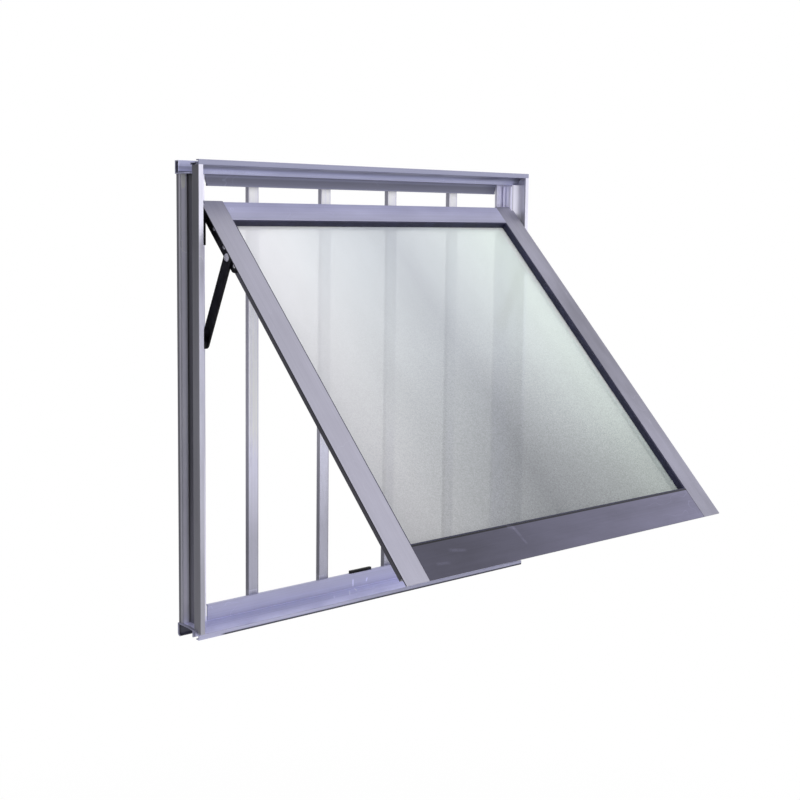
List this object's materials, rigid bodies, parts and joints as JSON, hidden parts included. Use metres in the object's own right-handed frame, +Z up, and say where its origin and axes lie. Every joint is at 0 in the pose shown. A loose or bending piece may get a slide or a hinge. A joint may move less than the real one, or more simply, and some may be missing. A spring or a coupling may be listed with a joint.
{
  "type": "top hung awning window",
  "caption": "Small aluminium top hung window standing open on friction stays, with textured glass and upright security bars behind the sash.",
  "frame": {"origin": "middle of the sill's flat underside, below the front of its stop lip", "axes": "+X to the right along the wall seen from outside, +Y from outside into the room, +Z up"},
  "size_m": [0.606, 0.4292, 0.6206],
  "materials": {
    "natural_aluminium": "satin anodised",
    "textured_glass": "finely pebbled",
    "seal_rubber": "matt",
    "black_steel": "satin black",
    "black_nylon": "matt",
    "black_latch": "satin black",
    "rivet_steel": "bright"
  },
  "bodies": {
    "root": {"frame_head": "natural_aluminium", "frame_sill": "natural_aluminium", "left_jamb": "natural_aluminium", "right_jamb": "natural_aluminium", "sash_left_stile": "natural_aluminium", "sash_right_stile": "natural_aluminium", "sash_top_rail": "natural_aluminium", "sash_bottom_rail": "natural_aluminium", "glazing_bead_top": "natural_aluminium", "glazing_bead_bottom": "natural_aluminium", "glazing_bead_left": "natural_aluminium", "glazing_bead_right": "natural_aluminium", "security_bar_1": "natural_aluminium", "security_bar_2": "natural_aluminium", "security_bar_3": "natural_aluminium", "security_bar_4": "natural_aluminium", "glass_pane": "textured_glass", "outer_glazing_rubber": "seal_rubber", "inner_glazing_rubber": "seal_rubber", "left_stay_track": "natural_aluminium", "left_stay_shoe": "black_nylon", "left_stay_arm": "black_steel", "left_stay_link": "black_steel", "left_stay_rivets": "rivet_steel", "right_stay_track": "natural_aluminium", "right_stay_shoe": "black_nylon", "right_stay_arm": "black_steel", "right_stay_link": "black_steel", "right_stay_rivets": "rivet_steel", "latch_keeper": "black_nylon", "latch_base": "black_latch", "latch_lever": "black_latch"}
  },
  "joints": []
}
